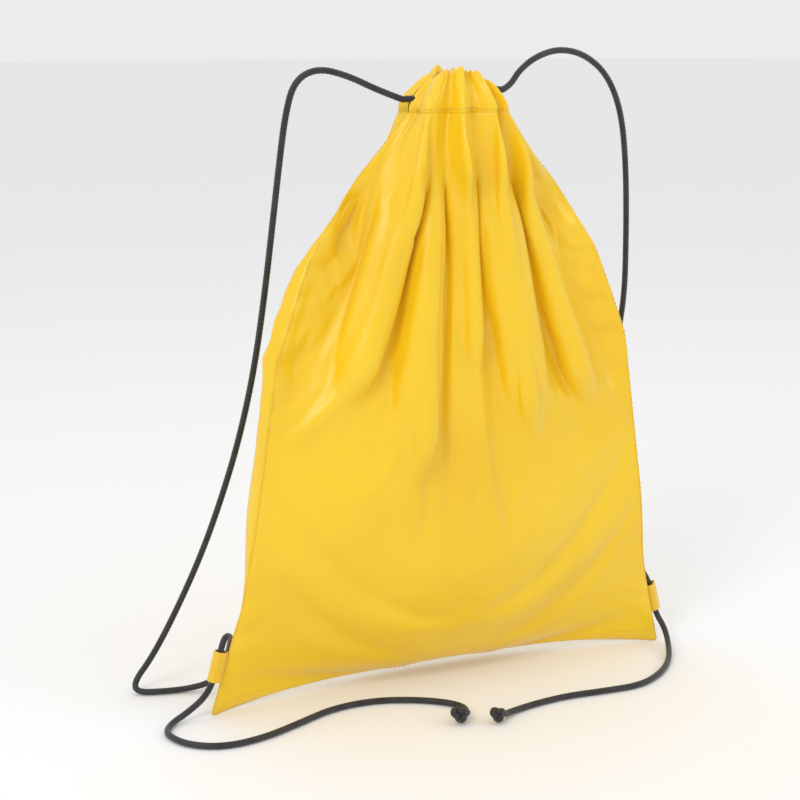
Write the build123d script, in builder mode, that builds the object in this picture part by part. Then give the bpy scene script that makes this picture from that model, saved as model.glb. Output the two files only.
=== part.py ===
from build123d import *
import math
import os

# Drawstring backpack: a gathered flat bag of thin cloth, standing on its bottom seam, with two
# drawcords that run round the mouth in a hem, out of its two side openings and through a ribbon
# tab on each side seam. X runs across the bag, the front panel faces -Y, Z is up. Millimetres.

# Cloth
CLOTH = 1.2                # wall of the panels, seam allowance included
FLOOR = 3.0                # closed strip along the bottom seam
SEAM_GAP = 0.1             # each panel stops this far from the seam's middle surface

# Each level of the bag: height, half width, bulge of the front, bulge of the back,
# y of the side seams, and how far the middle of the bag is set back behind them
LEVELS = [
    (0.0, 166.0, 3.0, 3.0, 5.0, 20.0),
    (25.0, 159.0, 16.0, 12.0, 3.0, 12.0),
    (70.0, 147.0, 34.0, 26.0, 1.0, 4.0),
    (150.0, 134.0, 42.0, 38.0, 0.0, 0.0),
    (230.0, 122.0, 42.0, 40.0, 0.0, 0.0),
    (290.0, 99.0, 38.0, 34.0, 0.0, 0.0),
    (340.0, 66.0, 31.0, 29.0, 0.0, 0.0),
    (376.0, 35.0, 24.0, 24.0, 0.0, 0.0),
]
OUTLINE_STEPS = 8          # spans of the outline from one side seam to the other

# Gathered hem at the mouth
NECK_TOP = LEVELS[-1][0]
HEM_HEIGHT = 28.0
HEM_LENGTH = 70.0          # along X
HEM_DEPTH = 48.0           # along Y
HEM_CORNER = 18.0
HEM_WALL = 1.0
CHANNEL_WIDTH = 7.0        # room for the cords between the hem's two walls
CHANNEL_LOW = 4.5          # above the hem's lower edge
CHANNEL_HEIGHT = 12.0
OPENING = 8.0              # gap between the front and the back hem, where the cords come out
SHOULDER_X = 16.0          # the hem's top edge slopes down from here to its ends
SHOULDER_DROP = 9.0

# Cords
CORD = 4.0                 # diameter
EXIT_RADIUS = 2.6          # bend of a cord from the hem's channel into its opening
SLACK = 0.5                # the cord's corners in the channel are this much tighter than its own
KNOT_NECK = 3.0            # from the end of a cord to the body of its knot
KNOT_WIDTH = 12.0
KNOT_HEIGHT = 10.8
KNOT_ROUNDING = 4.5
LEFT_KNOT_LENGTH = 18.0
RIGHT_KNOT_LENGTH = 15.0
KNOT_REST = 0.3            # height of the knots' underside

# Route of each cord, from its opening in the hem to its knot
LEFT_ROUTE = [
    (-37.0, 0.0, 386.0), (-50.0, 4.0, 391.0), (-67.0, 9.0, 399.5), (-86.0, 12.0, 404.5),
    (-100.0, 15.0, 397.0), (-105.0, 18.0, 377.0), (-108.0, 22.0, 348.0), (-112.0, 26.0, 308.0),
    (-117.0, 30.0, 262.0), (-123.0, 35.0, 216.0), (-132.0, 40.0, 172.0), (-143.0, 46.0, 132.0),
    (-156.0, 51.0, 94.0), (-173.0, 55.0, 56.0), (-190.0, 58.0, 24.0), (-202.0, 61.0, 7.5),
    (-202.0, 55.0, 2.2), (-186.0, 50.0, 2.2), (-169.0, 47.0, 2.5), (-155.0, 41.0, 7.0),
    (-149.0, 32.0, 20.0), (-147.5, 23.0, 36.0), (-149.0, 13.0, 48.5), (-155.5, 4.5, 53.0),
    (-159.3, 2.7, 44.0), (-161.8, 2.4, 34.5), (-164.6, 2.7, 24.5), (-170.5, 3.0, 14.0),
    (-182.0, 3.0, 5.8), (-194.5, -2.0, 2.3), (-201.0, -15.0, 2.2), (-192.0, -35.0, 2.2),
    (-172.0, -46.0, 2.2),
    (-146.0, -43.0, 2.2), (-120.0, -32.0, 2.2), (-92.0, -19.0, 2.2), (-62.0, -18.0, 2.2),
    (-36.0, -28.0, 2.2), (-18.0, -41.0, 2.2), (-12.0, -54.0, 2.2), (-18.0, -61.0, 2.8),
]
RIGHT_ROUTE = [
    (34.0, 0.0, 391.0), (39.6, 1.6, 393.4), (46.0, 3.3, 402.0), (60.0, 6.0, 411.0),
    (79.0, 10.0, 415.5), (100.0, 14.0, 411.5), (120.0, 19.0, 398.0), (134.0, 24.0, 374.0),
    (142.0, 29.0, 338.0), (147.0, 34.0, 290.0), (152.0, 42.0, 240.0), (151.0, 55.0, 196.0),
    (144.0, 62.0, 156.0), (141.0, 58.0, 116.0), (146.0, 42.0, 84.0), (152.0, 21.0, 66.0),
    (152.5, 13.0, 57.0), (157.8, 7.0, 46.5), (161.4, 6.5, 33.5), (165.0, 6.7, 20.5),
    (167.5, -1.5, 12.0), (163.5, -13.5, 5.5), (153.0, -32.0, 2.2), (135.0, -51.0, 2.2),
    (111.0, -64.0, 2.2),
    (84.0, -63.0, 2.2), (58.0, -60.5, 2.2), (36.0, -62.5, 2.2), (18.0, -66.5, 2.4),
    (5.0, -72.0, 3.4),
]
FREE_SHARE = 0.45          # share of the shorter run that a bend of a free cord takes

# Ribbon tabs, folded into a loop round their cord
TAB_WIDTH = 20.0           # along the side seam
TAB_REACH = 9.5            # out from the side seam
TAB_THICK = 7.4
RIBBON = 0.9
TAB_MIDDLE = 34.0          # height of the middle of the tab
LEFT_TAB_TURN = 180.0      # direction that each tab points in, seen from above
RIGHT_TAB_TURN = 40.0
LEFT_TAB_GAP = 0.1         # from the side seam to the loop, more where it is bent to the back
RIGHT_TAB_GAP = 1.6
TAB_LEAN = 15.0            # the side seam leans in by this angle there

# Threads
THREAD = 0.8
SEAM_INSET = 7.0           # the side seams' thread lies this far inside the edge
SEAM_BEND = 40.0           # radius of that thread where the edge turns
HEM_STITCH_HEIGHT = 2.0    # above the hem's lower edge
THREAD_CLEARANCE = 0.3
BOTTOM_THREAD_REACH = 120.0
BOTTOM_THREAD_HEIGHT = 8.0

os.makedirs("parts", exist_ok=True)


def middle_y(level, x):
    """y of the seam's middle surface of a level at one x."""
    height, half_width, front, back, side_y, set_back = level
    return side_y + set_back * (1 - (x / half_width) ** 2)


def outline(level, depth, inset):
    """Points across the bag on one side of the middle surface: depth is minus for the front."""
    points = []
    for step in range(OUTLINE_STEPS + 1):
        angle = math.pi * step / OUTLINE_STEPS
        across = -math.cos(angle)
        x = (level[1] - inset) * across
        points.append((x, middle_y(level, level[1] * across) + depth * math.sin(angle)))
    return points


def middle_line(level, shift):
    """Points of the middle surface across the bag, moved along Y."""
    points = []
    for step in range(OUTLINE_STEPS + 1):
        x = -level[1] * math.cos(math.pi * step / OUTLINE_STEPS)
        points.append((x, middle_y(level, x) + shift))
    return points


def panel_level(level, side):
    """Section of one solid half of the bag: side is -1 for the front and 1 for the back."""
    depth = level[2] if side < 0 else level[3]
    shell = outline(level, side * depth, 0)
    seam = middle_line(level, side * SEAM_GAP)
    shell[0] = seam[0]
    shell[-1] = seam[-1]
    with BuildSketch(Plane.XY.offset(level[0])) as section:
        with BuildLine():
            Spline(*shell)
            Spline(*seam)
        make_face()
    return section.sketch


def cavity_level(level, height):
    """Section of the space inside the bag."""
    with BuildSketch(Plane.XY.offset(height)) as section:
        with BuildLine():
            Spline(*outline(level, CLOTH - level[2], 2 * CLOTH))
            Spline(*outline(level, level[3] - CLOTH, 2 * CLOTH))
        make_face()
    return section.sketch


# Space inside the bag, from the bottom seam to the mouth
cavity_sections = [cavity_level(LEVELS[0], FLOOR)]
for one_level in LEVELS[1:]:
    cavity_sections.append(cavity_level(one_level, one_level[0]))
with BuildPart() as cavity:
    loft(sections=cavity_sections)

# Front and back panel, sewn together along the sides and the bottom
with BuildPart() as front_panel:
    loft(sections=[panel_level(one_level, -1) for one_level in LEVELS])
    add(cavity.part, mode=Mode.SUBTRACT)
front_panel.part.label = "front_panel"
export_step(front_panel.part, "parts/front_panel.step")

with BuildPart() as back_panel:
    loft(sections=[panel_level(one_level, 1) for one_level in LEVELS])
    add(cavity.part, mode=Mode.SUBTRACT)
back_panel.part.label = "back_panel"
export_step(back_panel.part, "parts/back_panel.step")


def ring_sketch(height, outer_step, inner_step):
    """Ring round the mouth between two offsets in from the hem's outside."""
    with BuildSketch(Plane.XY.offset(height)) as ring:
        for step_in, mode in ((outer_step, Mode.ADD), (inner_step, Mode.SUBTRACT)):
            RectangleRounded(
                HEM_LENGTH - 2 * step_in, HEM_DEPTH - 2 * step_in, HEM_CORNER - step_in, mode=mode
            )
    return ring.sketch


def half_box(side):
    """Everything that isn't on one side of the mouth, to cut a ring down to that side."""
    reach = HEM_LENGTH + HEM_DEPTH
    middle = -side * (reach - OPENING) / 2
    with BuildPart() as block:
        with Locations((0, middle, NECK_TOP + HEM_HEIGHT / 2)):
            Box(reach, reach, 2 * HEM_HEIGHT)
    return block.part


HEM_TOP = NECK_TOP + HEM_HEIGHT
with BuildPart() as shoulders:
    with BuildSketch(Plane.XZ.offset(-HEM_DEPTH)):
        for way in (-1, 1):
            with BuildLine():
                Polyline(
                    (way * SHOULDER_X, HEM_TOP),
                    (way * HEM_LENGTH / 2, HEM_TOP - SHOULDER_DROP),
                    (way * HEM_LENGTH, HEM_TOP - SHOULDER_DROP),
                    (way * HEM_LENGTH, HEM_TOP + SHOULDER_DROP),
                    (way * SHOULDER_X, HEM_TOP + SHOULDER_DROP),
                    close=True,
                )
            make_face()
    extrude(amount=2 * HEM_DEPTH)

# Gathered hem of each panel, with the channel that the cords run in
for side, name in ((-1, "front_hem"), (1, "back_hem")):
    with BuildPart() as hem:
        add(ring_sketch(NECK_TOP, 0, 2 * HEM_WALL + CHANNEL_WIDTH))
        extrude(amount=HEM_HEIGHT)
        add(ring_sketch(NECK_TOP + CHANNEL_LOW, HEM_WALL, HEM_WALL + CHANNEL_WIDTH))
        extrude(amount=CHANNEL_HEIGHT, mode=Mode.SUBTRACT)
        add(shoulders.part, mode=Mode.SUBTRACT)
        add(half_box(side), mode=Mode.SUBTRACT)
    hem.part.label = name
    export_step(hem.part, f"parts/{name}.step")

# Line of stitches that closes each hem, round the outside of the neck
for side, name in ((-1, "front_hem_thread"), (1, "back_hem_thread")):
    with BuildPart() as hem_thread:
        add(
            ring_sketch(
                NECK_TOP + HEM_STITCH_HEIGHT,
                -THREAD_CLEARANCE - THREAD,
                -THREAD_CLEARANCE,
            )
        )
        extrude(amount=THREAD)
        add(half_box(side), mode=Mode.SUBTRACT)
    hem_thread.part.label = name
    export_step(hem_thread.part, f"parts/{name}.step")

# Threads of the side seams, inside the bag
for way, name in ((-1, "left_seam_thread"), (1, "right_seam_thread")):
    points = [Vector(way * (one[1] - SEAM_INSET), one[4], one[0]) for one in LEVELS[1:-1]]
    with BuildPart() as seam_thread:
        with BuildLine() as seam_line:
            FilletPolyline(*points, radius=SEAM_BEND)
        with BuildSketch(Plane(origin=points[0], z_dir=points[1] - points[0])):
            Circle(THREAD / 2)
        sweep()
    seam_thread.part.label = name
    export_step(seam_thread.part, f"parts/{name}.step")

# Thread of the bottom seam, just above the closed strip
with BuildPart() as bottom_thread:
    with BuildLine() as bottom_line:
        ThreePointArc(
            (-BOTTOM_THREAD_REACH, middle_y(LEVELS[0], BOTTOM_THREAD_REACH), BOTTOM_THREAD_HEIGHT),
            (0, middle_y(LEVELS[0], 0) - 2 * CLOTH, BOTTOM_THREAD_HEIGHT),
            (BOTTOM_THREAD_REACH, middle_y(LEVELS[0], BOTTOM_THREAD_REACH), BOTTOM_THREAD_HEIGHT),
        )
    with BuildSketch(Plane(origin=bottom_line.line @ 0, z_dir=bottom_line.line % 0)):
        Circle(THREAD / 2)
    sweep()
bottom_thread.part.label = "bottom_seam_thread"
export_step(bottom_thread.part, "parts/bottom_seam_thread.step")


def bend_radii(points):
    """Largest radius that each corner's two runs leave room for."""
    radii = []
    for before, corner, after in zip(points, points[1:], points[2:]):
        first_run = corner - before
        second_run = after - corner
        half_turn = math.radians(first_run.get_angle(second_run) / 2)
        radii.append(FREE_SHARE * min(first_run.length, second_run.length) / math.tan(half_turn))
    return radii


def tube_volume_note(name, path_length, volume):
    """Line that compares a tube's volume with its section times its length."""
    ideal = math.pi * CORD ** 2 / 4 * path_length
    return f"{name}: length {path_length:.1f}, volume over section times length {volume / ideal:.4f}"


# Cords outside the bag, and the stretch of each that the hem holds
for name, route, way in (("left", LEFT_ROUTE, -1), ("right", RIGHT_ROUTE, 1)):
    points = [Vector(*point) for point in route]
    radii = bend_radii(points)
    print(name, "bend radii", [round(radius, 1) for radius in radii])
    with BuildPart() as cord:
        with BuildLine() as cord_line:
            FilletPolyline(*points, radius=radii)
        with BuildSketch(Plane(origin=points[0], z_dir=points[1] - points[0])):
            Circle(CORD / 2)
        sweep()
    print(tube_volume_note(name + "_cord", cord_line.wires()[0].length, cord.part.volume))
    cord.part.label = name + "_cord"
    export_step(cord.part, f"parts/{name}_cord.step")

    # Once round the mouth, through both hems, and back to the same opening
    half_x = HEM_LENGTH / 2 - HEM_WALL - CHANNEL_WIDTH / 2
    half_y = HEM_DEPTH / 2 - HEM_WALL - CHANNEL_WIDTH / 2
    corner_radius = HEM_CORNER - HEM_WALL - CHANNEL_WIDTH / 2 - SLACK
    outward = (points[1] - points[0]).normalized()
    leg = (abs(points[0].X) - half_x) / abs(outward.X)
    turn_in = points[0] - outward * leg
    level_z = turn_in.Z
    hem_points = [points[0], turn_in]
    for corner_x, corner_y in ((way, -1), (-way, -1), (-way, 1), (way, 1)):
        hem_points.append(Vector(corner_x * half_x, corner_y * half_y, level_z))
    hem_points.append(Vector(way * half_x, OPENING * 0.75, level_z))
    hem_radii = [EXIT_RADIUS] + 4 * [corner_radius]
    with BuildPart() as hem_cord:
        with BuildLine() as hem_cord_line:
            FilletPolyline(*hem_points, radius=hem_radii)
        with BuildSketch(Plane(origin=points[0], z_dir=turn_in - points[0])):
            Circle(CORD / 2)
        sweep()
    print(tube_volume_note(name + "_hem_cord", hem_cord_line.wires()[0].length, hem_cord.part.volume))
    hem_cord.part.label = name + "_hem_cord"
    export_step(hem_cord.part, f"parts/{name}_hem_cord.step")

# Knot at the end of each cord
for name, route, length in (
    ("left", LEFT_ROUTE, LEFT_KNOT_LENGTH),
    ("right", RIGHT_ROUTE, RIGHT_KNOT_LENGTH),
):
    end = Vector(*route[-1])
    last_run = (end - Vector(*route[-2])).normalized()
    level_run = Vector(last_run.X, last_run.Y, 0).normalized()
    body_start = end + last_run * KNOT_NECK
    body_start.Z = KNOT_REST + KNOT_HEIGHT / 2
    with BuildPart() as knot:
        with BuildSketch(Plane(origin=body_start, x_dir=level_run.cross(Vector(0, 0, 1)), z_dir=level_run)):
            Rectangle(KNOT_WIDTH, KNOT_HEIGHT)
        extrude(amount=length)
        fillet(knot.edges(), radius=KNOT_ROUNDING)
        with BuildSketch(Plane(origin=end, z_dir=last_run)):
            Circle(CORD / 2)
        extrude(amount=KNOT_NECK + KNOT_ROUNDING)
    knot.part.label = name + "_knot"
    export_step(knot.part, f"parts/{name}_knot.step")

# Ribbon tab on each side seam, a loop that its cord passes down through
for name, way, turn, gap in (
    ("left", -1, LEFT_TAB_TURN, LEFT_TAB_GAP),
    ("right", 1, RIGHT_TAB_TURN, RIGHT_TAB_GAP),
):
    low, high = LEVELS[1], LEVELS[2]
    share = (TAB_MIDDLE - low[0]) / (high[0] - low[0])
    seam_x = way * (low[1] + share * (high[1] - low[1]))
    seam_y = low[4] + share * (high[4] - low[4])
    heading = math.radians(turn)
    centre = Vector(
        seam_x + (TAB_REACH / 2 + gap) * math.cos(heading),
        seam_y + (TAB_REACH / 2 + gap) * math.sin(heading),
        TAB_MIDDLE,
    )
    lean = math.radians(TAB_LEAN)
    up = Vector(-way * math.sin(lean), 0, math.cos(lean))
    out = Vector(math.cos(heading), math.sin(heading), 0)
    out = out - up * out.dot(up)
    base = Plane(origin=centre - up * (TAB_WIDTH / 2), x_dir=out, z_dir=up)
    with BuildPart() as tab:
        with BuildSketch(base):
            SlotOverall(TAB_REACH, TAB_THICK)
            SlotOverall(TAB_REACH - 2 * RIBBON, TAB_THICK - 2 * RIBBON, mode=Mode.SUBTRACT)
        extrude(amount=TAB_WIDTH)
    tab.part.label = name + "_tab"
    export_step(tab.part, f"parts/{name}_tab.step")
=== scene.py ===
import math

import bmesh
import bpy
import numpy as np
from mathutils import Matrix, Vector, noise


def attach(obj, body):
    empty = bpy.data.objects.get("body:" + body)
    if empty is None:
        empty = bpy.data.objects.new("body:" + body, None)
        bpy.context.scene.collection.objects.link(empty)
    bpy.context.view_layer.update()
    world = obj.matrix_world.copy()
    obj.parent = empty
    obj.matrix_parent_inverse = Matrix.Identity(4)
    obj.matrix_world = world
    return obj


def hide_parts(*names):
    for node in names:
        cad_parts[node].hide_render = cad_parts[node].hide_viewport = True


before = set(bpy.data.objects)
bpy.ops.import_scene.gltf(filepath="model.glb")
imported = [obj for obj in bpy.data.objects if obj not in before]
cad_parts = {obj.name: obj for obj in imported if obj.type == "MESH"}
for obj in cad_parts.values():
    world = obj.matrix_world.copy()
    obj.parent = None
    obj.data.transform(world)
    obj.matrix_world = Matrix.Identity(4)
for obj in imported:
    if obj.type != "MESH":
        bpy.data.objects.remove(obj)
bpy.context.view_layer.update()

# Drawstring backpack: simulated cloth bag, gathered hems, braided cords, ribbon tabs and stitches.
# Metres, in the frame's own axes: X across the bag, the front faces -Y, Z is up.

# Camera
CAMERA_AZIMUTH = -23.0
CAMERA_ELEVATION = 13.0
CAMERA_DISTANCE = 1.0
CAMERA_TARGET = Vector((-0.037, 0.0, 0.1966))
CAMERA_LENS = 70.4

# Cords: the same routes as the CAD tubes
CORD = 0.004
LEFT_ROUTE = [
    (-0.0370, 0.0000, 0.3860), (-0.0500, 0.0040, 0.3910), (-0.0670, 0.0090, 0.3995),
    (-0.0860, 0.0120, 0.4045), (-0.1000, 0.0150, 0.3970), (-0.1050, 0.0180, 0.3770),
    (-0.1080, 0.0220, 0.3480), (-0.1120, 0.0260, 0.3080), (-0.1170, 0.0300, 0.2620),
    (-0.1230, 0.0350, 0.2160), (-0.1320, 0.0400, 0.1720), (-0.1430, 0.0460, 0.1320),
    (-0.1560, 0.0510, 0.0940), (-0.1730, 0.0550, 0.0560), (-0.1900, 0.0580, 0.0240),
    (-0.2020, 0.0610, 0.0075), (-0.2020, 0.0550, 0.0022), (-0.1860, 0.0500, 0.0022),
    (-0.1690, 0.0470, 0.0025), (-0.1550, 0.0410, 0.0070), (-0.1490, 0.0320, 0.0200),
    (-0.1475, 0.0230, 0.0360), (-0.1490, 0.0130, 0.0485), (-0.1555, 0.0045, 0.0530),
    (-0.1593, 0.0027, 0.0440), (-0.1618, 0.0024, 0.0345), (-0.1646, 0.0027, 0.0245),
    (-0.1705, 0.0030, 0.0140), (-0.1820, 0.0030, 0.0058), (-0.1945, -0.0020, 0.0023),
    (-0.2010, -0.0150, 0.0022), (-0.1920, -0.0350, 0.0022), (-0.1720, -0.0460, 0.0022),
    (-0.1460, -0.0430, 0.0022), (-0.1200, -0.0320, 0.0022), (-0.0920, -0.0190, 0.0022),
    (-0.0620, -0.0180, 0.0022), (-0.0360, -0.0280, 0.0022), (-0.0180, -0.0410, 0.0022),
    (-0.0120, -0.0540, 0.0022), (-0.0180, -0.0610, 0.0028),
]
RIGHT_ROUTE = [
    (0.0340, 0.0000, 0.3910), (0.0396, 0.0016, 0.3934), (0.0460, 0.0033, 0.4020),
    (0.0600, 0.0060, 0.4110), (0.0790, 0.0100, 0.4155), (0.1000, 0.0140, 0.4115),
    (0.1200, 0.0190, 0.3980), (0.1340, 0.0240, 0.3740), (0.1420, 0.0290, 0.3380),
    (0.1470, 0.0340, 0.2900), (0.1520, 0.0420, 0.2400), (0.1510, 0.0550, 0.1960),
    (0.1440, 0.0620, 0.1560), (0.1410, 0.0580, 0.1160), (0.1460, 0.0420, 0.0840),
    (0.1520, 0.0210, 0.0660), (0.1525, 0.0130, 0.0570), (0.1578, 0.0070, 0.0465),
    (0.1614, 0.0065, 0.0335), (0.1650, 0.0067, 0.0205), (0.1675, -0.0015, 0.0120),
    (0.1635, -0.0135, 0.0055), (0.1530, -0.0320, 0.0022), (0.1350, -0.0510, 0.0022),
    (0.1110, -0.0640, 0.0022), (0.0840, -0.0630, 0.0022), (0.0580, -0.0605, 0.0022),
    (0.0360, -0.0625, 0.0022), (0.0180, -0.0665, 0.0024), (0.0050, -0.0720, 0.0034),
]
BRAID_STEP = 0.0007        # along the cord, between rings of its mesh
BRAID_SIDES = 16
BRAID_LAY = 0.0056         # length of two diamonds of the braid
BRAID_STRANDS = 3          # half the number of diamonds round the cord
BRAID_DEPTH = 0.07         # share of the radius

# Knots: middle, half width, half height and half depth, turn where its loops open, way of the tail
LEFT_KNOT = ((-0.0245, -0.0680, 0.0066), (0.0052, 0.0040, 0.0026), 1.3, (-0.0030, 0.0, 0.0))
RIGHT_KNOT = ((-0.0022, -0.0765, 0.0062), (0.0040, 0.0036, 0.0022), 1.3, (-0.0010, 0.0, -0.0010))
KNOT_ACROSS = (0.92, -0.39, 0.0)
KNOT_UPRIGHT = (0.10, 0.24, 0.966)
KNOT_POINTS = 19
KNOT_TURN = 0.94           # share of the closed loop that its line runs
KNOT_CORD = 0.47           # share of the cord's diameter that its radius is
KNOT_TAPER = 0.001
TAPER_END = 0.55           # share of the radius left at a tapered end

# Bag: height, half width, bulge of the front, bulge of the back, y of the side seams,
# and how much further back the middle lies
LEVELS = np.array([
    (0.000, 0.166, 0.003, 0.003, 0.005, 0.020),
    (0.025, 0.159, 0.016, 0.012, 0.003, 0.012),
    (0.070, 0.147, 0.034, 0.026, 0.001, 0.004),
    (0.150, 0.134, 0.042, 0.038, 0.000, 0.000),
    (0.230, 0.122, 0.042, 0.040, 0.000, 0.000),
    (0.290, 0.099, 0.038, 0.034, 0.000, 0.000),
    (0.340, 0.066, 0.031, 0.029, 0.000, 0.000),
    (0.378, 0.035, 0.020, 0.020, 0.000, 0.000),
])
BOTTOM_RISE = 0.008        # the middle of the bottom seam stands this much above its corners
BOTTOM_RISE_FADE = 0.06    # height where that has faded out
CUT_WIDTH = 0.336
CUT_LENGTH = 0.42
GATHERED_WIDTH = 0.285     # width at the hem in the simulation: its finest gathers are left out
GATHERS_FROM = 0.35        # share of the way up where the width starts to narrow, and the share it takes
GATHERS_OVER = 0.6
COLUMNS = 96
ROWS = 92
CLOTH_THICKNESS = 0.0006

# Folds round the neck: share of the way across, and 1 at a ridge or -1 at a valley
FRONT_FOLDS = [
    (0.0, 0.0), (0.07, -1.0), (0.24, 1.0), (0.40, -1.2), (0.465, 1.0), (0.53, -1.0),
    (0.63, 1.0), (0.74, -1.0), (0.80, 0.8), (0.86, -0.8), (0.94, 0.5), (1.0, 0.0),
]
BACK_FOLDS = [
    (0.0, 0.0), (0.08, -0.8), (0.17, 1.0), (0.27, -1.0), (0.38, 1.0), (0.49, -1.0),
    (0.6, 1.0), (0.7, -1.0), (0.8, 1.0), (0.9, -1.0), (1.0, 0.0),
]
FOLD_DEPTH = 0.010
FOLDS_START = 0.250        # height where the neck's folds fade out

# Broad folds below them: place across at the lower end and at the neck, height of the
# lower end, half width across, and depth
FRONT_TONGUES = [
    (0.20, 0.22, 0.190, 0.085, 0.010),
    (0.36, 0.36, 0.140, 0.070, 0.012),
    (0.52, 0.50, 0.205, 0.050, 0.007),
    (0.69, 0.63, 0.160, 0.075, 0.012),
    (0.86, 0.80, 0.172, 0.060, 0.010),
]
BACK_TONGUES = [
    (0.15, 0.20, 0.200, 0.070, 0.010),
    (0.34, 0.38, 0.150, 0.080, 0.012),
    (0.56, 0.55, 0.180, 0.080, 0.011),
    (0.80, 0.75, 0.150, 0.080, 0.012),
]

# Heights over which an effect comes in and goes again: start and length of each
SEAM_BAND = (0.03, 0.10, 0.24, 0.12)
BELLY_BAND = (0.04, 0.12, 0.25, 0.11)

SEAM_FORWARD = 0.010       # the side seams lie this far in front of the middle, at mid height
LENS_FRONT = 0.75          # power of the lens in section: lower is rounder at the sides
LENS_BACK = 0.55
BACK_SWELL = 0.5
BACK_SWELL_WIDTH = 1.6
EDGE_FADE = 6              # folds fade out at the side seams: higher is closer to them
TONGUE_SHARE = 0.6         # of their depth, raised again after the simulation
SWELL_LEFT = 0.018
SWELL_RIGHT = 0.003
SWELL_WIDTH = 0.26         # share of the way across
SWELL_POWER = 0.55
SWELL_BACK = 0.6           # share of the swell that goes back as well
NECK_LOW = 0.325           # height where the section starts to turn into the mouth's

# Cloth simulation
CLOTH_FRAMES = 34
CLOTH_SETTINGS = {
    "quality": 7,
    "mass": 0.12,
    "air_damping": 2,
    "tension_stiffness": 20,
    "compression_stiffness": 20,
    "shear_stiffness": 8,
    "bending_stiffness": 0.15,
    "tension_damping": 8,
    "compression_damping": 8,
    "shear_damping": 8,
    "use_pressure": True,
    "uniform_pressure_force": 3.5,
}

# Puckers along the side seams
PUCKER_PITCH = 0.019
PUCKER_DEPTH = 0.0011
PUCKER_FROM_SEAM = 0.008
PUCKER_REACH = 0.009
PUCKER_HEIGHT = 0.41       # height and width that the rows and columns are spread over
PUCKER_WIDTH = 0.3

# Stitches: from one to the next, length and radius
HEM_STITCH = (0.0031, 0.0024, 0.00035)
SEAM_STITCH = (0.0034, 0.0024, 0.00025)

# Hem round the mouth
RIM_OUT = 0.0015
RIM_FOLD = 0.005
RIM_HALF_X = 0.0305        # line of the cords inside it
RIM_HALF_Y = 0.0195
RIM_POWER = 0.8            # power of its oval: lower is squarer
HEM_LOW = 0.378
HEM_TOP = 0.404
HEM_SLOPE = 0.0085         # the hem's top is this much lower at its ends
HEM_LENGTH = 0.056
HEM_THICKNESS = 0.0005
HEM_COLUMNS = 221
CLOSE_FROM = 0.376         # height where the mouth starts to close, and the height it takes
CLOSE_OVER = 0.032
CLOSE_X = 0.42             # share that it closes by
CLOSE_Y = 0.30
RUFFLE_COUNT = 17
RUFFLE_OUT = 0.0011
RUFFLE_UP = 0.0012
RUFFLE_WIDTH = 0.22        # share of the way across
CRUMPLE_SCALE = 190
CRUMPLE_DEPTH = 0.0009
CRUMPLE_SHIFTS = (Vector((9.3, -1.5, -8.0)), Vector((0.0, 0.0, 0.0)), Vector((6.3, 0.2, -2.7)))

# Hem's section: share of its height, and way out from the line of the cords at a valley
# and at a ridge
HEM_PROFILE = [
    (-0.05, -0.0041, 0.0057), (0.01, -0.0036, 0.0063), (0.08, -0.0029, 0.0070), (0.25, -0.0024, 0.0076),
    (0.45, -0.0026, 0.0074), (0.65, -0.0032, 0.0064), (0.82, -0.0042, 0.0047), (0.93, -0.0054, 0.0027),
    (0.99, -0.0070, 0.0002), (1.00, -0.0086, -0.0022), (0.93, -0.0102, -0.0042), (0.78, -0.0112, -0.0054),
    (0.55, -0.0114, -0.0056), (0.34, -0.0110, -0.0052), (0.16, -0.0100, -0.0040), (0.03, -0.0070, 0.0020),
]

# Gathering cords inside the hem
GATHERING_OUT = -0.0050
GATHERING_FOLD = 0.0022
GATHERING_POINTS = 90
GATHERING_CUT = 9          # points left out at each end, for the way to the opening
GATHERING_DROP = 0.0005

# Studio: name, place, size and power of each light
LIGHTS = (
    ("key", (-1.3, -1.0, 1.3), 0.6, 8.5),
    ("fill", (1.3, -0.9, 0.9), 0.6, 2.5),
    ("top", (0.1, 0.3, 1.6), 1.0, 2),
)
LIGHTS_AIM = Vector((0, 0, 0.2))
SKY_STRENGTH = 0.84
FLOOR_SIZE = 30


def smooth(x):
    """0 to 1 with level ends."""
    x = np.clip(x, 0.0, 1.0)
    return x * x * (3 - 2 * x)


def in_band(height, band):
    """1 inside a band of heights, 0 well below and above it."""
    rise_from, rise_over, fall_from, fall_over = band
    return smooth((height - rise_from) / rise_over) * (1 - smooth((height - fall_from) / fall_over))


def make_camera():
    """Camera at the photograph's viewing angle."""
    azimuth = math.radians(CAMERA_AZIMUTH)
    elevation = math.radians(CAMERA_ELEVATION)
    back = Vector((
        math.sin(azimuth) * math.cos(elevation),
        -math.cos(azimuth) * math.cos(elevation),
        math.sin(elevation),
    ))
    camera = bpy.data.objects.new("camera", bpy.data.cameras.new("camera"))
    bpy.context.scene.collection.objects.link(camera)
    camera.location = CAMERA_TARGET + back * CAMERA_DISTANCE
    camera.rotation_mode = "QUATERNION"
    camera.rotation_quaternion = (-back).to_track_quat("-Z", "Y")
    camera.data.lens = CAMERA_LENS
    camera.data.clip_start = 0.01
    camera.data.clip_end = 50
    bpy.context.scene.camera = camera


# ---------------------------------------------------------------- materials

def shader(name, colour, roughness, sheen=0.0):
    """A node material, its tree and its Principled shader."""
    material = bpy.data.materials.new(name)
    material.use_nodes = True
    tree = material.node_tree
    surface = tree.nodes["Principled BSDF"]
    surface.inputs["Base Color"].default_value = (*colour, 1)
    surface.inputs["Roughness"].default_value = roughness
    surface.inputs["Sheen Weight"].default_value = sheen
    return material, tree, surface


def node(tree, kind, **values):
    """A node with its properties and inputs set."""
    made = tree.nodes.new(kind)
    for key, value in values.items():
        if hasattr(made, key):
            setattr(made, key, value)
        else:
            made.inputs[key.replace("_", " ")].default_value = value
    return made


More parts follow.
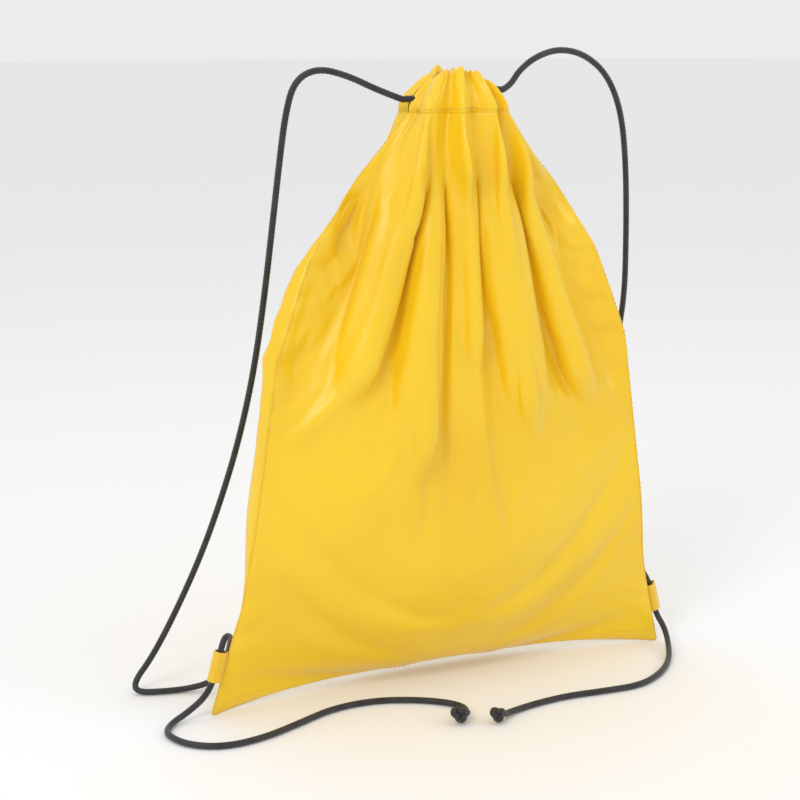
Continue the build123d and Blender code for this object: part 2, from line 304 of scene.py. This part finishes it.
def mottled(tree, surface, coordinates, low, high, scale):
    """Base colour that wanders between two colours."""
    cloud = node(tree, "ShaderNodeTexNoise", Scale=scale, Detail=4.0)
    ramp = tree.nodes.new("ShaderNodeValToRGB")
    ramp.color_ramp.elements[0].position = 0.35
    ramp.color_ramp.elements[1].position = 0.65
    ramp.color_ramp.elements[0].color = (*low, 1)
    ramp.color_ramp.elements[1].color = (*high, 1)
    tree.links.new(coordinates, cloud.inputs["Vector"])
    tree.links.new(cloud.outputs["Fac"], ramp.inputs["Fac"])
    tree.links.new(ramp.outputs["Color"], surface.inputs["Base Color"])


def bump_chain(tree, surface, heights):
    """Bumps one after another: each is (height socket, strength, distance)."""
    normal = None
    for socket, strength, distance in heights:
        bump = node(tree, "ShaderNodeBump", Strength=strength, Distance=distance)
        tree.links.new(socket, bump.inputs["Height"])
        if normal is not None:
            tree.links.new(normal, bump.inputs["Normal"])
        normal = bump.outputs["Normal"]
    tree.links.new(normal, surface.inputs["Normal"])


def weave_height(tree, coordinates, threads):
    """Height of a plain weave: warp threads over and under weft threads."""
    warp = node(tree, "ShaderNodeTexWave", bands_direction="X", Scale=threads)
    weft = node(tree, "ShaderNodeTexWave", bands_direction="Y", Scale=threads)
    cross = node(tree, "ShaderNodeMath", operation="MULTIPLY")
    tree.links.new(coordinates, warp.inputs["Vector"])
    tree.links.new(coordinates, weft.inputs["Vector"])
    tree.links.new(warp.outputs["Fac"], cross.inputs[0])
    tree.links.new(weft.outputs["Fac"], cross.inputs[1])
    return cross.outputs["Value"]


def cloth_material():
    """Satin polyester taffeta, a little uneven, with fine creases from folding."""
    material, tree, surface = shader("bag_cloth", (0.88, 0.56, 0.007), 0.31, sheen=0.2)
    surface.inputs["Sheen Roughness"].default_value = 0.4
    surface.inputs["Specular IOR Level"].default_value = 0.55
    surface.inputs["Anisotropic"].default_value = 0.3
    place = tree.nodes.new("ShaderNodeTexCoord")
    mottled(tree, surface, place.outputs["Object"], (0.86, 0.535, 0.005), (0.91, 0.60, 0.009), 9.0)
    crumple = node(tree, "ShaderNodeTexNoise", Scale=38.0, Detail=5.0, Roughness=0.6)
    creases = node(tree, "ShaderNodeTexNoise", Scale=14.0, Detail=3.0, Distortion=1.2)
    tree.links.new(place.outputs["Object"], crumple.inputs["Vector"])
    tree.links.new(place.outputs["Object"], creases.inputs["Vector"])
    weave = weave_height(tree, place.outputs["UV"], 420.0)
    bump_chain(tree, surface, [
        (creases.outputs["Fac"], 0.35, 0.002),
        (crumple.outputs["Fac"], 0.25, 0.0008),
        (weave, 0.25, 0.00012),
    ])
    return material


def ribbon_material():
    """Satin ribbon with ribs across it."""
    material, tree, surface = shader("tab_ribbon", (0.88, 0.56, 0.007), 0.34, sheen=0.3)
    place = tree.nodes.new("ShaderNodeTexCoord")
    mottled(tree, surface, place.outputs["Object"], (0.84, 0.50, 0.005), (0.90, 0.58, 0.009), 60.0)
    ribs = node(tree, "ShaderNodeTexWave", bands_direction="Z", Scale=260.0, Distortion=0.4)
    tree.links.new(place.outputs["Object"], ribs.inputs["Vector"])
    bump_chain(tree, surface, [(ribs.outputs["Fac"], 0.5, 0.0003)])
    return material


def cord_material():
    """Black braided polypropylene, a little grey where the strands are worn."""
    material, tree, surface = shader("drawcord", (0.018, 0.018, 0.02), 0.5, sheen=0.2)
    surface.inputs["Specular IOR Level"].default_value = 0.5
    place = tree.nodes.new("ShaderNodeTexCoord")
    mottled(tree, surface, place.outputs["Object"], (0.006, 0.006, 0.007), (0.020, 0.020, 0.022), 120.0)
    fibres = node(tree, "ShaderNodeTexNoise", Scale=1800.0, Detail=2.0)
    tree.links.new(place.outputs["Object"], fibres.inputs["Vector"])
    bump_chain(tree, surface, [(fibres.outputs["Fac"], 0.35, 0.0002)])
    return material


def thread_material():
    """Twisted sewing thread."""
    material, tree, surface = shader("sewing_thread", (0.82, 0.46, 0.008), 0.55, sheen=0.3)
    place = tree.nodes.new("ShaderNodeTexCoord")
    mottled(tree, surface, place.outputs["Object"], (0.76, 0.41, 0.007), (0.88, 0.51, 0.010), 400.0)
    twist = node(tree, "ShaderNodeTexWave", bands_direction="DIAGONAL", Scale=1500.0)
    tree.links.new(place.outputs["Object"], twist.inputs["Vector"])
    bump_chain(tree, surface, [(twist.outputs["Fac"], 0.4, 0.0001)])
    return material


def floor_material():
    """Matt white studio paper."""
    material, tree, surface = shader("studio_paper", (0.94, 0.94, 0.94), 0.85)
    place = tree.nodes.new("ShaderNodeTexCoord")
    grain = node(tree, "ShaderNodeTexNoise", Scale=400.0, Detail=2.0)
    tree.links.new(place.outputs["Object"], grain.inputs["Vector"])
    bump_chain(tree, surface, [(grain.outputs["Fac"], 0.05, 0.0002)])
    return material


# ---------------------------------------------------------------- meshes

def make_object(name, points, faces, material, uvs=None):
    """A smooth-shaded mesh object; uvs has one pair for each point."""
    mesh = bpy.data.meshes.new(name)
    mesh.from_pydata([tuple(point) for point in points], [], faces)
    mesh.materials.append(material)
    mesh.shade_smooth()
    if uvs is not None:
        layer = mesh.uv_layers.new(name="cloth")
        for loop in mesh.loops:
            layer.data[loop.index].uv = uvs[loop.vertex_index]
    made = bpy.data.objects.new(name, mesh)
    bpy.context.scene.collection.objects.link(made)
    return made


def route_line(route, step):
    """Points read from a route's NURBS spline, evenly spaced."""
    data = bpy.data.curves.new("route", "CURVE")
    data.dimensions = "3D"
    data.resolution_u = 24
    spline = data.splines.new("NURBS")
    spline.points.add(len(route) - 1)
    for point, place in zip(spline.points, route):
        point.co = (*place, 1)
    spline.order_u = 3
    spline.use_endpoint_u = True
    holder = bpy.data.objects.new("route", data)
    bpy.context.scene.collection.objects.link(holder)
    graph = bpy.context.evaluated_depsgraph_get()
    mesh = bpy.data.meshes.new_from_object(holder.evaluated_get(graph))
    line = np.array([vertex.co[:] for vertex in mesh.vertices])
    bpy.data.objects.remove(holder)
    bpy.data.meshes.remove(mesh)
    runs = np.linalg.norm(np.diff(line, axis=0), axis=1)
    along = np.concatenate([[0], np.cumsum(runs)])
    count = max(2, round(along[-1] / step))
    even = np.linspace(0, along[-1], count + 1)
    return np.stack([np.interp(even, along, line[:, axis]) for axis in range(3)], axis=1)


def frames_along(line):
    """Two unit vectors across the line at each point, that don't spin along it."""
    tangents = np.gradient(line, axis=0)
    tangents /= np.linalg.norm(tangents, axis=1)[:, None]
    side = np.cross(tangents[0], (0.3, 0.5, 0.8))
    sides = []
    for tangent in tangents:
        side = side - tangent * np.dot(side, tangent)
        side = side / np.linalg.norm(side)
        sides.append(side)
    sides = np.array(sides)
    return sides, np.cross(tangents, sides)


def braided_tube(name, line, radius, material, taper=0.0):
    """Mesh tube along a line with the raised diamonds of a round braid."""
    sides, ups = frames_along(line)
    step = np.linalg.norm(line[1] - line[0])
    along = np.arange(len(line))[:, None] * step
    angle = np.arange(BRAID_SIDES)[None, :] * 2 * math.pi / BRAID_SIDES
    turn = 2 * math.pi * along / (2 * BRAID_LAY)
    diamonds = np.cos(BRAID_STRANDS * angle + turn * 2) * np.cos(BRAID_STRANDS * angle - turn * 2)
    reach = radius * (1 + BRAID_DEPTH * diamonds)
    if taper:
        ends = np.minimum(along, along[-1] - along) / taper
        reach = reach * np.clip(ends + TAPER_END, 0, 1)
    points = (
        line[:, None, :]
        + sides[:, None, :] * (np.cos(angle) * reach)[:, :, None]
        + ups[:, None, :] * (np.sin(angle) * reach)[:, :, None]
    ).reshape(-1, 3)
    faces = []
    for ring in range(len(line) - 1):
        for corner in range(BRAID_SIDES):
            after = (corner + 1) % BRAID_SIDES
            base = ring * BRAID_SIDES
            faces.append((
                base + corner, base + after, base + BRAID_SIDES + after, base + BRAID_SIDES + corner,
            ))
    last = (len(line) - 1) * BRAID_SIDES
    faces.append(tuple(range(BRAID_SIDES))[::-1])
    faces.append(tuple(range(last, last + BRAID_SIDES)))
    return make_object(name, points, faces, material)


# ---------------------------------------------------------------- cords and knots

def knot_line(end, heading, centre, size, opening, tail):
    """Line of an overhand knot: three lobes round its centre, from the end of a cord to a short tail."""
    across = np.array(KNOT_ACROSS)
    upright = np.array(KNOT_UPRIGHT)
    deep = np.cross(across, upright)
    places = []
    for turn in np.linspace(opening, opening + 2 * math.pi * KNOT_TURN, KNOT_POINTS):
        sideways = (math.sin(turn) + 2 * math.sin(2 * turn)) / 3 * size[0]
        height = (math.cos(turn) - 2 * math.cos(2 * turn)) / 3 * size[1]
        depth = -math.sin(3 * turn) * size[2]
        places.append(np.array(centre) + across * sideways + upright * height + deep * depth)
    start = [end - heading * 0.004, end + heading * 0.0005]
    last = places[-1] + (places[-1] - places[-2]) * 0.6 + np.array(tail)
    return [tuple(place) for place in start + places + [last]]


def make_cord(name, route, knot_facts, material):
    """A drawcord with the overhand knot at its end."""
    line = route_line(route, BRAID_STEP)
    tube = braided_tube(name, line, CORD / 2, material)
    end = np.array(route[-1])
    last_run = end - np.array(route[-2])
    heading = last_run / np.linalg.norm(last_run)
    knot_places = knot_line(end, heading, *knot_facts)
    knot_path = route_line(knot_places, BRAID_STEP * 0.8)
    side = name.split("_")[0]
    knot = braided_tube(
        side + "_overhand_knot", knot_path, CORD * KNOT_CORD, material, taper=KNOT_TAPER,
    )
    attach(tube, "root")
    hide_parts(side + "_cord")
    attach(knot, "root")
    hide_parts(side + "_knot")


# ---------------------------------------------------------------- bag

def level_value(height, column):
    """Value in a column of LEVELS at a height."""
    return np.interp(height, LEVELS[:, 0], LEVELS[:, column])


def fold_value(across, table):
    """Ridge or valley at a place across the bag."""
    table = np.array(table)
    span = np.clip(np.searchsorted(table[:, 0], across, side="right") - 1, 0, len(table) - 2)
    share = (across - table[span, 0]) / (table[span + 1, 0] - table[span, 0])
    return table[span, 1] + (table[span + 1, 1] - table[span, 1]) * smooth(share)


def rim(across, side, out):
    """Point of the line of the cords round the mouth, moved outward, and the way out."""
    angle = math.pi * across
    x = -np.sign(np.cos(angle)) * np.abs(np.cos(angle)) ** RIM_POWER
    y = side * np.sin(angle) ** RIM_POWER
    normal = np.stack([x / RIM_HALF_X, y / RIM_HALF_Y], axis=-1)
    normal /= np.linalg.norm(normal, axis=-1)[..., None]
    place = np.stack([x * RIM_HALF_X, y * RIM_HALF_Y], axis=-1)
    return place + normal * out[..., None], normal


def seam_heights():
    """Height of each row's ends, evenly spaced along the curved side seam, and the seam's length."""
    fine = np.linspace(0, HEM_LOW, 400)
    runs = np.hypot(np.diff(fine), np.diff(level_value(fine, 1)))
    along = np.concatenate([[0], np.cumsum(runs)])
    return np.interp(np.linspace(0, along[-1], ROWS + 1), along, fine), along[-1]


def start_shape(side, heights):
    """Bag before it is simulated: a lens in section, with folds that run down from the neck."""
    across = np.linspace(0, 1, COLUMNS + 1)[None, :]
    height = heights[:, None]
    half = level_value(height, 1)
    bulge = level_value(height, 2 if side < 0 else 3)
    lens = 1 - (2 * across - 1) ** 2
    seam_forward = SEAM_FORWARD * in_band(height, SEAM_BAND)
    roundness = LENS_FRONT if side < 0 else LENS_BACK
    x = (2 * across - 1) * half
    y = side * bulge * lens ** roundness
    y = y - seam_forward * (1 - lens) ** 4
    if side > 0:
        from_seam = np.sin(math.pi * np.clip((1 - lens) * BACK_SWELL_WIDTH, 0, 1))
        x = x * (1 + BACK_SWELL * seam_forward / half * from_seam)
    neck = smooth((height - FOLDS_START) / (HEM_LOW - FOLDS_START))
    table = FRONT_FOLDS if side < 0 else BACK_FOLDS
    edge_fade = np.minimum(1, EDGE_FADE * lens)
    depth = FOLD_DEPTH * fold_value(across, table) * neck * edge_fade
    for low_place, high_place, low, width, deep in FRONT_TONGUES if side < 0 else BACK_TONGUES:
        share = np.clip((height - low) / (HEM_LOW - low), 0, 1)
        middle = low_place + (high_place - low_place) * share
        reach = width * (0.55 + 0.45 * np.sin(math.pi * np.clip(share * 1.2, 0, 1)))
        bump = np.cos(np.clip((across - middle) / reach, -1, 1) * math.pi / 2) ** 2
        rise = in_band(height, (low, 0.045, 0.30, 0.06))
        depth = depth + deep * (bump - 0.4) * rise * edge_fade
    y = y + side * depth
    rim_out = RIM_OUT + RIM_FOLD * fold_value(across, table)
    rim_place, _ = rim(np.broadcast_to(across, x.shape), side, rim_out)
    into_rim = smooth((height - NECK_LOW) / (HEM_LOW - NECK_LOW))
    spread = half / level_value(HEM_LOW, 1)
    deepen = bulge / level_value(HEM_LOW, 2)
    x = x + (rim_place[..., 0] * spread - x) * into_rim
    y = y + (rim_place[..., 1] * deepen - y) * into_rim
    y = y + level_value(height, 4) + level_value(height, 5) * lens
    z = height + BOTTOM_RISE * lens * (1 - smooth(height / BOTTOM_RISE_FADE))
    return np.stack([x, y, z], axis=-1)


def simulated_bag():
    """Positions of the front and back cloth after the simulation, as grids."""
    heights, seam_length = seam_heights()
    front = start_shape(-1, heights)
    back = start_shape(1, heights)
    middle = (front + back) / 2
    for grid in (front, back):
        grid[:, 0] = middle[:, 0]
        grid[:, -1] = middle[:, -1]
        grid[0] = middle[0]
    across = np.linspace(-0.5, 0.5, COLUMNS + 1)
    up = np.linspace(0, 1, ROWS + 1)
    width = CUT_WIDTH - (CUT_WIDTH - GATHERED_WIDTH) * smooth((up - GATHERS_FROM) / GATHERS_OVER)
    flat = np.stack([
        across[None, :] * width[:, None],
        np.zeros((ROWS + 1, COLUMNS + 1)),
        np.broadcast_to((up * seam_length)[:, None], (ROWS + 1, COLUMNS + 1)),
    ], axis=-1)
    index_front = np.arange((ROWS + 1) * (COLUMNS + 1)).reshape(ROWS + 1, COLUMNS + 1)
    index_back = index_front.copy()
    own = np.zeros(index_back.shape, bool)
    own[1:, 1:-1] = True
    index_back[own] = index_front.size + np.arange(own.sum())
    points = np.concatenate([front.reshape(-1, 3), back[own]])
    rest = np.concatenate([flat.reshape(-1, 3), flat[own] + (0, 0.0002, 0)])
    faces = []
    for grid, flip in ((index_front, False), (index_back, True)):
        corners = np.stack([grid[:-1, :-1], grid[:-1, 1:], grid[1:, 1:], grid[1:, :-1]], axis=-1)
        for quad in corners.reshape(-1, 4).tolist():
            faces.append(quad[::-1] if flip else quad)
    mesh = bpy.data.meshes.new("cloth_model")
    mesh.from_pydata(points.tolist(), [], faces)
    cloth = bpy.data.objects.new("cloth_model", mesh)
    bpy.context.scene.collection.objects.link(cloth)
    cloth.shape_key_add(name="Basis")
    key = cloth.shape_key_add(name="flat")
    key.data.foreach_set("co", rest.ravel())
    pins = cloth.vertex_groups.new(name="pins")
    held = set(index_front[0]) | set(index_front[-1]) | set(index_back[-1])
    held |= set(index_front[:, 0]) | set(index_front[:, -1])
    pins.add([int(one) for one in held], 1.0, "REPLACE")
    modifier = cloth.modifiers.new("cloth", "CLOTH")
    modifier.collision_settings.use_collision = False
    for setting, value in CLOTH_SETTINGS.items():
        setattr(modifier.settings, setting, value)
    modifier.settings.vertex_group_mass = "pins"
    modifier.settings.rest_shape_key = key
    modifier.point_cache.frame_end = CLOTH_FRAMES
    scene = bpy.context.scene
    scene.frame_end = CLOTH_FRAMES
    for number in range(1, CLOTH_FRAMES + 1):
        scene.frame_set(number)
    graph = bpy.context.evaluated_depsgraph_get()
    result = cloth.evaluated_get(graph).data
    settled = np.array([vertex.co[:] for vertex in result.vertices])
    scene.frame_set(1)
    bpy.data.objects.remove(cloth)
    return settled[index_front], settled[index_back]


def sheet_mesh(name, grid, side, material, width, length, thickness):
    """Cloth of one side of the bag from its grid of points."""
    rows, columns = grid.shape[:2]
    index = np.arange(rows * columns).reshape(rows, columns)
    corners = np.stack([index[:-1, :-1], index[:-1, 1:], index[1:, 1:], index[1:, :-1]], axis=-1)
    faces = [quad[::-1] if side > 0 else quad for quad in corners.reshape(-1, 4).tolist()]
    uvs = [
        (column / (columns - 1) * width, row / (rows - 1) * length)
        for row in range(rows) for column in range(columns)
    ]
    made = make_object(name, grid.reshape(-1, 3), faces, material, uvs)
    finer = made.modifiers.new("finer", "SUBSURF")
    finer.levels = 1
    finer.render_levels = 1
    thick = made.modifiers.new("thickness", "SOLIDIFY")
    thick.thickness = thickness
    thick.offset = -1
    return made


def hem_close(place, height):
    """The mouth closes towards its top."""
    near = smooth((height - CLOSE_FROM) / CLOSE_OVER)
    place[:, 0] *= 1 - CLOSE_X * near
    place[:, 1] *= 1 - CLOSE_Y * near
    return place


def crumple(place):
    """Noise in three directions that is the same each run, which noise.noise_vector isn't."""
    return Vector([noise.noise(place + shift) for shift in CRUMPLE_SHIFTS])


def hem_grid(side):
    """Gathered hem: its outer skin up from the stitches, over the top and down inside."""
    across = np.linspace(0.006, 0.994, HEM_COLUMNS)
    table = FRONT_FOLDS if side < 0 else BACK_FOLDS
    fold = fold_value(across, table)
    rows = []
    middle = np.exp(-((across - 0.5) / RUFFLE_WIDTH) ** 2)
    ruffle = np.cos(2 * math.pi * (across * RUFFLE_COUNT + 0.3 * np.sin(across * 23)))
    for share, valley, ridge in HEM_PROFILE:
        out = valley + (ridge - valley) * (fold * 0.5 + 0.5)
        gather = smooth((share - 0.25) / 0.7) * middle
        out = out + RUFFLE_OUT * ruffle * gather
        place, _ = rim(across, side, out)
        top = HEM_TOP - HEM_SLOPE * smooth((np.abs(place[:, 0] + 0.004) - 0.006) / 0.026)
        top = top + 0.0016 * fold + RUFFLE_UP * ruffle * middle
        z = HEM_LOW + (top - HEM_LOW) * share
        place = hem_close(place, z)
        rows.append(np.stack([place[:, 0], place[:, 1], z], axis=-1))
    grid = np.array(rows)
    for row, (share, _, _) in zip(grid, HEM_PROFILE):
        fade = float(smooth(share / 0.15))
        for point in row:
            push = crumple(Vector(point) * CRUMPLE_SCALE) * CRUMPLE_DEPTH * fade
            point += np.array(push)
    return grid


def hem_cord_line(way, route, height):
    """Line of a cord once round inside the hems, from its opening and back to it."""
    across = np.linspace(0, 1, GATHERING_POINTS)
    line = []
    for side, table, order in ((-1, FRONT_FOLDS, 1), (1, BACK_FOLDS, -1)):
        out = GATHERING_OUT + GATHERING_FOLD * fold_value(across, table)
        place, _ = rim(across, side, out)
        place = hem_close(place, np.full(len(across), height))
        half = np.stack([place[:, 0], place[:, 1], np.full(len(across), height)], axis=-1)
        line.append(half[::order])
    line = np.concatenate(line)
    if way > 0:
        line = np.roll(line, len(across), axis=0)
    first = np.array(route[0])
    heading = np.array(route[1]) - first
    heading /= np.linalg.norm(heading)
    leave = np.array([
        first + heading * 0.0006,
        first - heading * 0.0015,
        (way * 0.0300, -0.0002, height + 0.0002),
        (way * 0.0240, -0.0008, height),
    ])
    return np.concatenate([leave, line[GATHERING_CUT:-GATHERING_CUT]])


def make_hem_cord(name, way, route, material):
    """The stretch of a drawcord that the hems hold."""
    line = hem_cord_line(way, route, route[0][2] - GATHERING_DROP)
    runs = np.linalg.norm(np.diff(line, axis=0), axis=1)
    along = np.concatenate([[0], np.cumsum(runs)])
    even = np.arange(0, along[-1], BRAID_STEP)
    line = np.stack([np.interp(even, along, line[:, axis]) for axis in range(3)], axis=1)
    tube = braided_tube(name.replace("_hem_cord", "_gathering_cord"), line, CORD / 2, material)
    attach(tube, "root")
    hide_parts(name)


def grid_normals(grid, side):
    """Outward direction at each point of a side of the bag."""
    across = np.gradient(grid, axis=1)
    up = np.gradient(grid, axis=0)
    normals = np.cross(across, up)
    normals /= np.linalg.norm(normals, axis=-1)[..., None] + 1e-12
    return normals * (-side)


def add_tongues(grid, side):
    """Broad folds with rounded lower ends, raised along the cloth."""
    across = np.linspace(0, 1, grid.shape[1])[None, :]
    height = grid[..., 2]
    rise = np.zeros(height.shape)
    for low_place, high_place, low, width, deep in FRONT_TONGUES if side < 0 else BACK_TONGUES:
        share = (height - low) / (HEM_LOW - low)
        middle = low_place + (high_place - low_place) * np.clip(share, 0, 1)
        reach = width * np.sqrt(np.clip(share * 3.2, 1e-6, 1)) * (1 - 0.35 * np.clip(share, 0, 1))
        bump = np.clip(1 - ((across - middle) / reach) ** 2, 0, 1)
        fade = smooth(share * 5) * (1 - smooth((share - 0.55) / 0.4))
        rise = np.maximum(rise, TONGUE_SHARE * deep * bump * fade)
    return grid + grid_normals(grid, side) * rise[..., None]


def swell_sides(grid):
    """The back cloth bellies out past the side seams, more on the left."""
    across = np.linspace(0, 1, grid.shape[1])[None, :]
    height = grid[..., 2]
    belly = in_band(height, BELLY_BAND)
    for near, way, reach in ((across, -1, SWELL_LEFT), (1 - across, 1, SWELL_RIGHT)):
        round_off = np.sin(math.pi * np.clip(near / SWELL_WIDTH, 0, 1) ** SWELL_POWER)
        grid[..., 0] += way * reach * belly * round_off
        grid[..., 1] += SWELL_BACK * reach * belly * round_off
    return grid


def pucker(grid):
    """Small gathers that the side seams pull into the cloth."""
    rows, columns = grid.shape[:2]
    along = np.arange(rows)[:, None] / rows * PUCKER_HEIGHT
    number = np.arange(columns)
    edge = np.minimum(number, columns - 1 - number)[None, :] / columns * PUCKER_WIDTH
    uneven = 0.6 + 0.4 * np.sin(along * 27 + 1)
    wave = np.sin(along * 2 * math.pi / PUCKER_PITCH + 2.2 * np.sin(along * 41)) * uneven
    fall = np.exp(-((edge - PUCKER_FROM_SEAM) / PUCKER_REACH) ** 2)
    grid[..., 1] += PUCKER_DEPTH * wave * fall * smooth((along - 0.02) / 0.03)
    return grid


def stitches(name, line, material, stitch, replaced):
    """A row of short stitches along a line, each a rounded capsule."""
    pitch, length, radius = stitch
    runs = np.linalg.norm(np.diff(line, axis=0), axis=1)
    along = np.concatenate([[0], np.cumsum(runs)])
    build = bmesh.new()
    for start in np.arange(pitch / 2, along[-1] - length, pitch):
        a = Vector([np.interp(start, along, line[:, axis]) for axis in range(3)])
        b = Vector([np.interp(start + length, along, line[:, axis]) for axis in range(3)])
        turn = (b - a).to_track_quat("Z", "Y").to_matrix().to_4x4()
        middle = (a + b) / 2
        made = bmesh.ops.create_uvsphere(build, u_segments=8, v_segments=6, radius=radius)
        for vertex in made["verts"]:
            vertex.co.z *= length / 2 / radius
            vertex.co = turn @ vertex.co + middle
    mesh = bpy.data.meshes.new(name)
    build.to_mesh(mesh)
    build.free()
    mesh.materials.append(material)
    mesh.shade_smooth()
    made = bpy.data.objects.new(name, mesh)
    bpy.context.scene.collection.objects.link(made)
    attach(made, "root")
    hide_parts(replaced)


def make_bag(cloth, thread):
    """Panels, hems and their stitches."""
    front, back = simulated_bag()
    hem_size = (CUT_WIDTH, HEM_LENGTH, HEM_THICKNESS)
    panel_size = (CUT_WIDTH, CUT_LENGTH, CLOTH_THICKNESS)
    for side, grid, name in ((-1, front, "front"), (1, back, "back")):
        shaped = add_tongues(grid, side)
        if side > 0:
            shaped = swell_sides(shaped)
        hem_shape = hem_grid(side)
        panel = sheet_mesh(name + "_cloth", pucker(shaped), side, cloth, *panel_size)
        hem = sheet_mesh(name + "_ruffle", hem_shape, side, cloth, *hem_size)
        for piece, cad in ((panel, name + "_panel"), (hem, name + "_hem")):
            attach(piece, "root")
            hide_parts(cad)
        stitches(name + "_hem_stitches", hem_shape[2], thread, HEM_STITCH, name + "_hem_thread")
    for name, column in (("left", 0), ("right", -1)):
        seam = front[:, column]
        stitches(name + "_seam_stitches", seam, thread, SEAM_STITCH, name + "_seam_thread")
    bottom = front[2] + (0, 0.0002, 0)
    stitches("bottom_stitches", bottom, thread, SEAM_STITCH, "bottom_seam_thread")


def make_studio():
    """Pale floor and soft lights."""
    build = bmesh.new()
    bmesh.ops.create_grid(build, x_segments=1, y_segments=1, size=FLOOR_SIZE)
    mesh = bpy.data.meshes.new("floor")
    build.to_mesh(mesh)
    build.free()
    mesh.materials.append(floor_material())
    floor = bpy.data.objects.new("floor", mesh)
    bpy.context.scene.collection.objects.link(floor)
    world = bpy.data.worlds.new("studio")
    world.use_nodes = True
    sky = world.node_tree.nodes["Background"]
    sky.inputs["Color"].default_value = (1, 1, 1, 1)
    sky.inputs["Strength"].default_value = SKY_STRENGTH
    bpy.context.scene.world = world
    for name, place, size, power in LIGHTS:
        light = bpy.data.lights.new(name, "AREA")
        light.size = size
        light.energy = power
        lamp = bpy.data.objects.new(name, light)
        bpy.context.scene.collection.objects.link(lamp)
        lamp.location = place
        lamp.rotation_mode = "QUATERNION"
        lamp.rotation_quaternion = (LIGHTS_AIM - Vector(place)).to_track_quat("-Z", "Y")


make_camera()
bpy.context.scene.view_settings.view_transform = "Standard"
cord_look = cord_material()
make_cord("left_drawcord", LEFT_ROUTE, LEFT_KNOT, cord_look)
make_cord("right_drawcord", RIGHT_ROUTE, RIGHT_KNOT, cord_look)
make_hem_cord("left_hem_cord", -1, LEFT_ROUTE, cord_look)
make_hem_cord("right_hem_cord", 1, RIGHT_ROUTE, cord_look)
ribbon_look = ribbon_material()
for tab in ("left_tab", "right_tab"):
    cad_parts[tab].data.materials.clear()
    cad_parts[tab].data.materials.append(ribbon_look)
make_bag(cloth_material(), thread_material())
make_studio()
